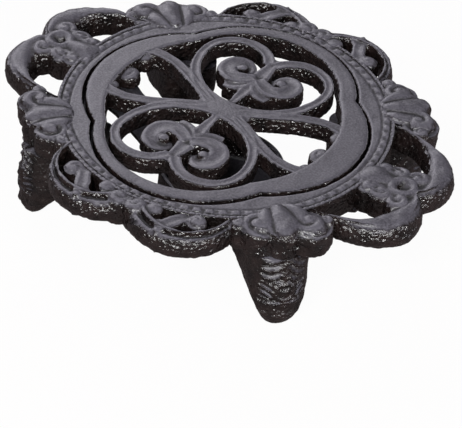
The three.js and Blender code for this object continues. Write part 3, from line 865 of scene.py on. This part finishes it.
def build_grille_ring():
    """Profile between the inner and the outer outline of four arcs, which have slightly
    different middles: a bevel inside, a flat top, a rounded edge outside. Each knot is (share
    of the way from the inner outline to the outer, offset outwards, height)."""
    a = around(900)
    inner = four_arcs(a, -1.8, 42.3, 16.9, 31.4)
    outer = four_arcs(a, LOBE_X, LOBE_X_R, LOBE_Y, LOBE_Y_R)
    knots = [
        (0, 0.3, 33.5), (0, -0.15, 33.9), (0, -0.1, 36.5), (0, 0.05, 38.6), (0, 0.35, 39.5),
        (0, 0.9, 39.88), (0, 1.7, GRILLE_TOP), (0.25, 0.9, GRILLE_TOP), (0.5, 0, GRILLE_TOP),
        (0.75, -0.8, GRILLE_TOP), (1, -1.6, GRILLE_TOP), (1, -0.75, 39.9), (1, -0.25, 39.6),
        (1, 0, 38.8), (1, 0, 35.5), (1, -0.12, 33.9), (1, -0.7, 33.5),
    ]
    reach = [(1 - w) * inner + w * outer + d for w, d, _ in knots]
    x = np.stack([(1 - k[0]) * TRACERY_X + r * np.cos(a) for k, r in zip(knots, reach)])
    y = np.stack([GRILLE_Y + r * np.sin(a) for r in reach])
    z = np.stack([k[2] + 0 * a for k in knots])
    return shell(smooth_loop(np.stack([x, y, z], -1), 4 * len(knots)), ring=True)


pour("grille_ring", [build_grille_ring()], grille_iron, "grille", "grille", lumps=0.06, grit=0.12)


# %% Tracery
def arc(cx, cy, radius, start, end):
    """Sixty points on a circle, from one angle to another."""
    a = np.linspace(start, end, 60)
    return np.stack([cx + radius * np.cos(a), cy + radius * np.sin(a)], 1)


def rib(path, half, top=GRILLE_TOP):
    """A bar of the tracery. half and top are each a number, an array, or (shares of the path's
    points, values there) with straight lines between."""
    share = np.linspace(0, 1, len(path))
    half, top = (np.interp(share, *v) if isinstance(v, tuple) else v for v in (half, top))
    return bar(path, half, top, GRILLE_UNDER)


heart = np.concatenate([arc(0, 27.2, 24.6, -np.pi / 2, 0)[:-1],
                        arc(12.4, 27.2, 12.2, 0, 0.86 * np.pi)])
along = np.linspace(0, 1, len(heart))
t = np.linspace(0, 1, 60)[:, None]
fan = bezier(*np.array([(6, 1.2), (20, 8.5), (30, 18.5), (43.5, 12.5)]), t)
curl = smooth_line([(0.6, 22.4), (3.6, 20.2), (7.4, 18.9), (11.0, 20.2), (12.8, 23.6),
                    (12.0, 27.4), (8.9, 29.0), (6.7, 27.2), (7.6, 24.9)], 110)
leaflet = smooth_line([(0.6, 21.5), (2.8, 18.4), (5.6, 15.8), (9.2, 14.6)], 50)
stem = np.stack([np.zeros(50), np.linspace(1, 36, 50)], 1)
stem_half = np.interp(stem[:, 1], [1, 6, 14, 22, 30, 36], [1.6, 1.5, 2.6, 4.0, 2.6, 1.7])
stem_top = np.interp(stem[:, 1], [1, 10, 20, 28, 36], [39.95, 39.7, 39.1, 39.5, 39.95])
quarter = [
    rib(heart, 2.3 + 0.3 * np.cos(2 * np.pi * along) - 0.25 * along),
    rib(fan, 2.2 + 1.0 * np.exp(-((1 - t[:, 0]) / 0.12) ** 2)),
    rib(curl, ([0, 0.2, 0.45, 0.7, 0.9, 1], [2.5, 3.3, 3.8, 3.4, 2.9, 2.7]),
        ([0, 0.35, 0.7, 1], [39.95, 39.9, 38.9, 37.2])),
    rib(leaflet, ([0, 0.5, 1], [2.6, 3.9, 2.4]), np.linspace(39.9, 38.9, 50)),
    knob(40.0, 10.6, 3.0, 39.4, floor=GRILLE_UNDER),
    knob(7.9, 25.4, 1.9, 39.9, floor=GRILLE_UNDER, dome=0.9),
]
nub = knob(39.4, 0.0, 3.9, 38.7, curl=0.7, floor=GRILLE_UNDER, dome=1.8, stretch=1.1, lean=90)
shells = [flip_plan(one, sx, sy) for one in quarter for sx in (1, -1) for sy in (1, -1)]
shells += with_mirror([rib(stem, stem_half, stem_top)], 1, -1)
shells += with_mirror([nub], -1, 1)
shells += [knob(0, 0, 5.2, GRILLE_TOP, floor=GRILLE_UNDER, dome=0.8, stretch=2.0)]
pour("grille_tracery", [moved(one, TRACERY_X, GRILLE_Y) for one in shells], grille_iron,
     "grille", "grille", grain=0.42, lumps=0.1, grit=0.16)

# %% [markdown]
# ## The legs
# Each leg is a bracket cast by itself and screwed up under a corner: a deep heel inside, which
# carries the screw, and a foot outside that tapers to a rounded toe. Its flanks are smooth and
# its outer face is carved with slanting leaf ribs, a round boss and a cross ridge. It is a
# stack of closed sections; the carving is added along the outer face.

# %% Legs
LEG_TOP = span("leg_back_right")[1, 2]
bolt_x, bolt_y, _ = span("leg_screw_back_right").mean(0)
LEG_BOLT_X = round(math.hypot(bolt_x, bolt_y), 1)
CORNER_ANGLE = round(math.degrees(math.atan2(bolt_y, bolt_x)), 1)
CARVING_DEPTH, CARVING_SINK = 1.8, 0.9
TOE_ROUND, TOE_MIDDLE = 3.2, 67.3
print("legs' screws stand", LEG_BOLT_X, "mm out, at", CORNER_ANGLE, "degrees")


def leg_carving(across, z):
    """Relief of the outer face: leaf ribs that slant down to both sides above 20 mm, fading
    towards a smooth midrib; a ringed boss near 17 mm; small ribs beside it; a cross ridge near
    12 mm; and a rounded, faintly fluted cap on the toe. Ribs and flutes are sines, the rest
    bell curves."""
    off = np.abs(across)
    ribs = 0.42 * np.sin(2 * np.pi * (z + 0.9 * off - 0.05 * off**2 + 0.25 * across) / 3.3)
    ribs = ribs * ease(19.5, 21.5, z) * (0.35 + 0.65 * ease(0.8, 2.6, off))
    midrib = 0.35 * np.exp(-((across / 1.0) ** 2)) * ease(20, 22, z)
    from_boss = np.hypot(across, z - 16.6)
    boss = 0.8 * np.exp(-((from_boss / 1.8) ** 2)) + 0.4 * np.exp(-(((from_boss - 3.2) / 0.7) ** 2))
    small = 0.3 * np.sin(2 * np.pi * (z - 0.4 * off) / 2.4)
    small = small * ease(3.6, 4.6, off) * ease(13, 14, z) * ease(20, 19, z)
    ridge = 0.5 * np.exp(-(((z - 12.2 + 0.12 * off) / 0.8) ** 2))
    flutes = 0.12 * np.cos(2 * np.pi * across / 3.4) * ease(1.5, 4, z) * ease(11.5, 9.5, z)
    cap = 0.6 * np.exp(-(((z - 5.6) / 2.3) ** 2)) * np.exp(-((across / 4.5) ** 2))
    return ribs + midrib + boss + small + ridge + flutes + cap


def build_leg():
    """Rows follow the heel's inner curve from the floor up, and then the straight inner end.
    Each section is a squared oval between the inner and outer profiles, narrowed to the front
    outline and to the bevels, with the carving added on the outer face."""
    t = np.linspace(1, 0, 90)
    curve = (1 - t) ** 2 * 38 + 2 * t * (1 - t) * 56 + t * t * 64
    inner = np.concatenate([curve, np.full(60, 38.0)])
    z = np.concatenate([(1 - t) ** 2 * 16 + 2 * t * (1 - t) * 15, np.linspace(16.2, LEG_TOP, 60)])
    outer = np.interp(z, [0, 2, 5, 9, 13, 17.8, 24, LEG_TOP],
                      [69.4, 70.7, 71.4, 71.8, 71.9, 71.6, 71.0, 70.4])
    s = np.linspace(0, 1, 60)
    half = np.interp(z, bezier(0, LEG_TOP / 6, LEG_TOP / 2, LEG_TOP, s),
                     bezier(3.4, 8.2, 11.2, 11.7, s))
    a = around(168)
    power = np.interp(z, [0, 6, 14, 20], [0.9, 0.75, 0.5, 0.42])[:, None]
    along, side = squared(np.cos(a), power), squared(np.sin(a), power)
    r = (inner + outer)[:, None] / 2 + (outer - inner)[:, None] / 2 * along
    bevel = np.interp(r, [38, 62, 64.5, 72.5], [10.7, 10.7, 10.2, 5.6])
    across = np.minimum(half[:, None], bevel) * side
    face = ease(66.5, 69.5, r) * ease(0.0, 0.35, along)
    r = r + leg_carving(across, z[:, None]) * face * CARVING_DEPTH - CARVING_SINK * face
    toe = 0.4 + 0.6 * np.sqrt(1 - (1 - np.clip(z / TOE_ROUND, 0, 1)) ** 2)[:, None]
    r = TOE_MIDDLE + (r - TOE_MIDDLE) * toe
    across = across * toe
    return shell(np.stack([r, across, z[:, None] + 0 * r], -1))


LEG_TURNS = {"front_right": -CORNER_ANGLE, "back_right": CORNER_ANGLE,
             "back_left": 180 - CORNER_ANGLE, "front_left": 180 + CORNER_ANGLE}
AXIS = 0.01  # a turned profile starts and ends just off the axis


def lathe(profile, columns):
    """A closed profile of (radius, height) points turned about the upright axis."""
    a = around(columns)
    r, z = np.array(profile, float).T[:, :, None]
    return shell(np.stack([r * np.cos(a), r * np.sin(a), z + 0 * a], -1))


leg_shell = build_leg()
pocket = moved(lathe([(AXIS, -2), (4.65, -2), (4.65, 22), (2.85, 22), (2.85, 31), (AXIS, 31)],
                     48), LEG_BOLT_X)
for corner, degrees in LEG_TURNS.items():
    leg = cast("leg_carved_" + corner, [turned(leg_shell, degrees)])
    roughen(leg, lumps=0.2, grit=0.12)
    drill(leg, turned(pocket, degrees))
    finish_piece(leg, leg_iron, "base", "cast_iron", "leg_" + corner)

# %% [markdown]
# ## The candle cup and its arms
# A shallow round cup hangs under the middle, low enough for a tea light's flame. Two flat arms
# rise from its wall to the underside of the band, where a screw holds each. The cup is a
# turned profile, and each arm a flat strip swept along its bend.

# %% Candle cup
CUP_BOLT_X = span("cup_screw_right")[:, 0].mean().round(1)
cup_shell = lathe([
    (AXIS, 2.0), (12, 2.0), (19.6, 2.05), (21.2, 2.5), (22.1, 3.5), (22.4, 5.0), (22.2, 9.0),
    (22.2, 13.2), (22.5, 14.2), (22.5, 15.2), (22.3, 15.8), (21.8, 16.0), (21.1, 15.9),
    (20.7, 15.4), (20.6, 14.0), (20.55, 6.2), (20.1, 4.9), (19.0, 4.3), (16, 4.2), (AXIS, 4.2),
], 144)


def build_arm(sign):
    """A flat strip: its side view is a smooth line from the cup's wall up to the flat tip, and
    its section a rounded rectangle whose long side lies along y, wider at the tip."""
    line = smooth_line([(21.0, 12.7), (26.0, 15.6), (36.0, 21.9), (42.5, 26.1), (46.5, 28.1),
                        (51.0, 28.55), (58.0, 28.55)], 90)
    step = np.gradient(line, axis=0)
    step /= np.linalg.norm(step, axis=1, keepdims=True)
    a = around(56)
    wide, thick = squared(np.cos(a), 0.35), squared(np.sin(a), 0.55)
    half = np.interp(line[:, 0], [21, 30, 40, 46, 58], [10, 8.6, 8.2, 9.6, 10])[:, None]
    tip = np.sqrt(np.clip((58.9 - line[:, 0]) / 3.0, 0.05, 1))[:, None]
    lift = 1.12 * thick
    x = line[:, :1] - step[:, 1:] * lift
    z = line[:, 1:] + step[:, :1] * lift
    return shell(np.stack([sign * x, half * (0.7 + 0.3 * tip) * wide + 0 * x, z], -1))


cup = cast("candle_cup_cast", [cup_shell, build_arm(1), build_arm(-1)])
hole = lathe([(AXIS, 20), (2.25, 20), (2.25, 35), (AXIS, 35)], 40)
for sign in (1, -1):
    drill(cup, moved(hole, sign * CUP_BOLT_X))
finish_piece(cup, iron, "base", "cast_iron", "candle_cup")

# %% [markdown]
# ## The screws
# Six slotted screws: four up through the heels of the legs and two through the tips of the
# arms. Each is turned from a profile, and its slot is milled across the domed head.


# %% Screws
LEG_SIZES = {"radius": 2.5, "head": 4.3, "height": 3.4, "seat": 21.7}
CUP_SIZES = {"radius": 1.9, "head": 3.6, "height": 2.2, "seat": 27.1}
TIP = span("cup_screw_right")[1, 2]
PITCH, THREAD_DEPTH = 1.0, 0.28
SLOT_HALF, SLOT_DEPTH = 0.5, 1.2
SQUARE = ((1, 1), (-1, 1), (-1, -1), (1, -1))


def build_screw(name, node, place, degrees, radius, head, height, seat):
    """Turned from a profile: a domed head below its seat, a thread of fine steps, two to a
    pitch, and a blunt tip. The slot is a box across the head."""
    steps = np.arange(seat + 0.6, TIP - 1.0, PITCH / 2)
    thread = [(radius - THREAD_DEPTH * (k % 2), z) for k, z in enumerate(steps)]
    dome = [(head * math.sin(q), seat - 0.25 - (height - 0.25) * math.cos(q))
            for q in np.linspace(0.02, 1.4, 12)]
    neck = [(head, seat - 0.3), (head, seat - 0.1), (head - 0.15, seat), (radius, seat)]
    end = [(radius - 0.3, TIP - 0.6), (radius - 0.9, TIP), (AXIS, TIP)]
    blank = moved(lathe(dome + neck + thread + end, 48), place)
    screw = cast(name, [turned(blank, degrees)])
    slot = np.array([[(x * 2 * head, y * SLOT_HALF, z) for x, y in SQUARE]
                     for z in (seat - height - 2.0, seat - height + SLOT_DEPTH)])
    drill(screw, turned(moved(shell(slot), place), degrees))
    finish_piece(screw, steel, "base", "screw_steel", node)


for corner, degrees in LEG_TURNS.items():
    build_screw("leg_bolt_" + corner, "leg_screw_" + corner, LEG_BOLT_X, degrees, **LEG_SIZES)
for side, sign in (("left", -1), ("right", 1)):
    build_screw("cup_bolt_" + side, "cup_screw_" + side, sign * CUP_BOLT_X, 0.0, **CUP_SIZES)

# %% [markdown]
# ## The floor
# A plain pale floor. To the camera it reads nearly white with a faint soft shadow, and to every
# other ray it is a matte pale surface that lifts the underside a little.

# %% Floor
FLOOR_REACH = 4  # metres
PAPER, PAPER_GLOW, GLOW_SHARE = (0.11, 0.09, 0.09, 1), 1.12, 0.86
corners = [(x * FLOOR_REACH, y * FLOOR_REACH, 0) for x, y in SQUARE]
floor_mesh = bpy.data.meshes.new("floor")
floor_mesh.from_pydata(corners, [], [(0, 1, 2, 3)])
floor = bpy.data.objects.new("floor", floor_mesh)
bpy.context.scene.collection.objects.link(floor)
paper = Nodes("pale_paper")
paper.fill(paper.shader, Base_Color=PAPER, Roughness=0.9)
glow = paper.add("ShaderNodeEmission", Color=(1, 1, 1, 1), Strength=PAPER_GLOW)
camera_ray = paper.add("ShaderNodeLightPath").outputs["Is Camera Ray"]
mixer = paper.add("ShaderNodeMixShader", Fac=paper.sums("MULTIPLY", camera_ray, GLOW_SHARE))
paper.feed(mixer.inputs[1], paper.shader.outputs["BSDF"])
paper.feed(mixer.inputs[2], glow.outputs["Emission"])
surface = paper.tree.nodes["Material Output"].inputs["Surface"]
paper.feed(surface, mixer.outputs["Shader"])
floor_mesh.materials.append(paper.material)
print("floor:", 2 * FLOOR_REACH, "m across")
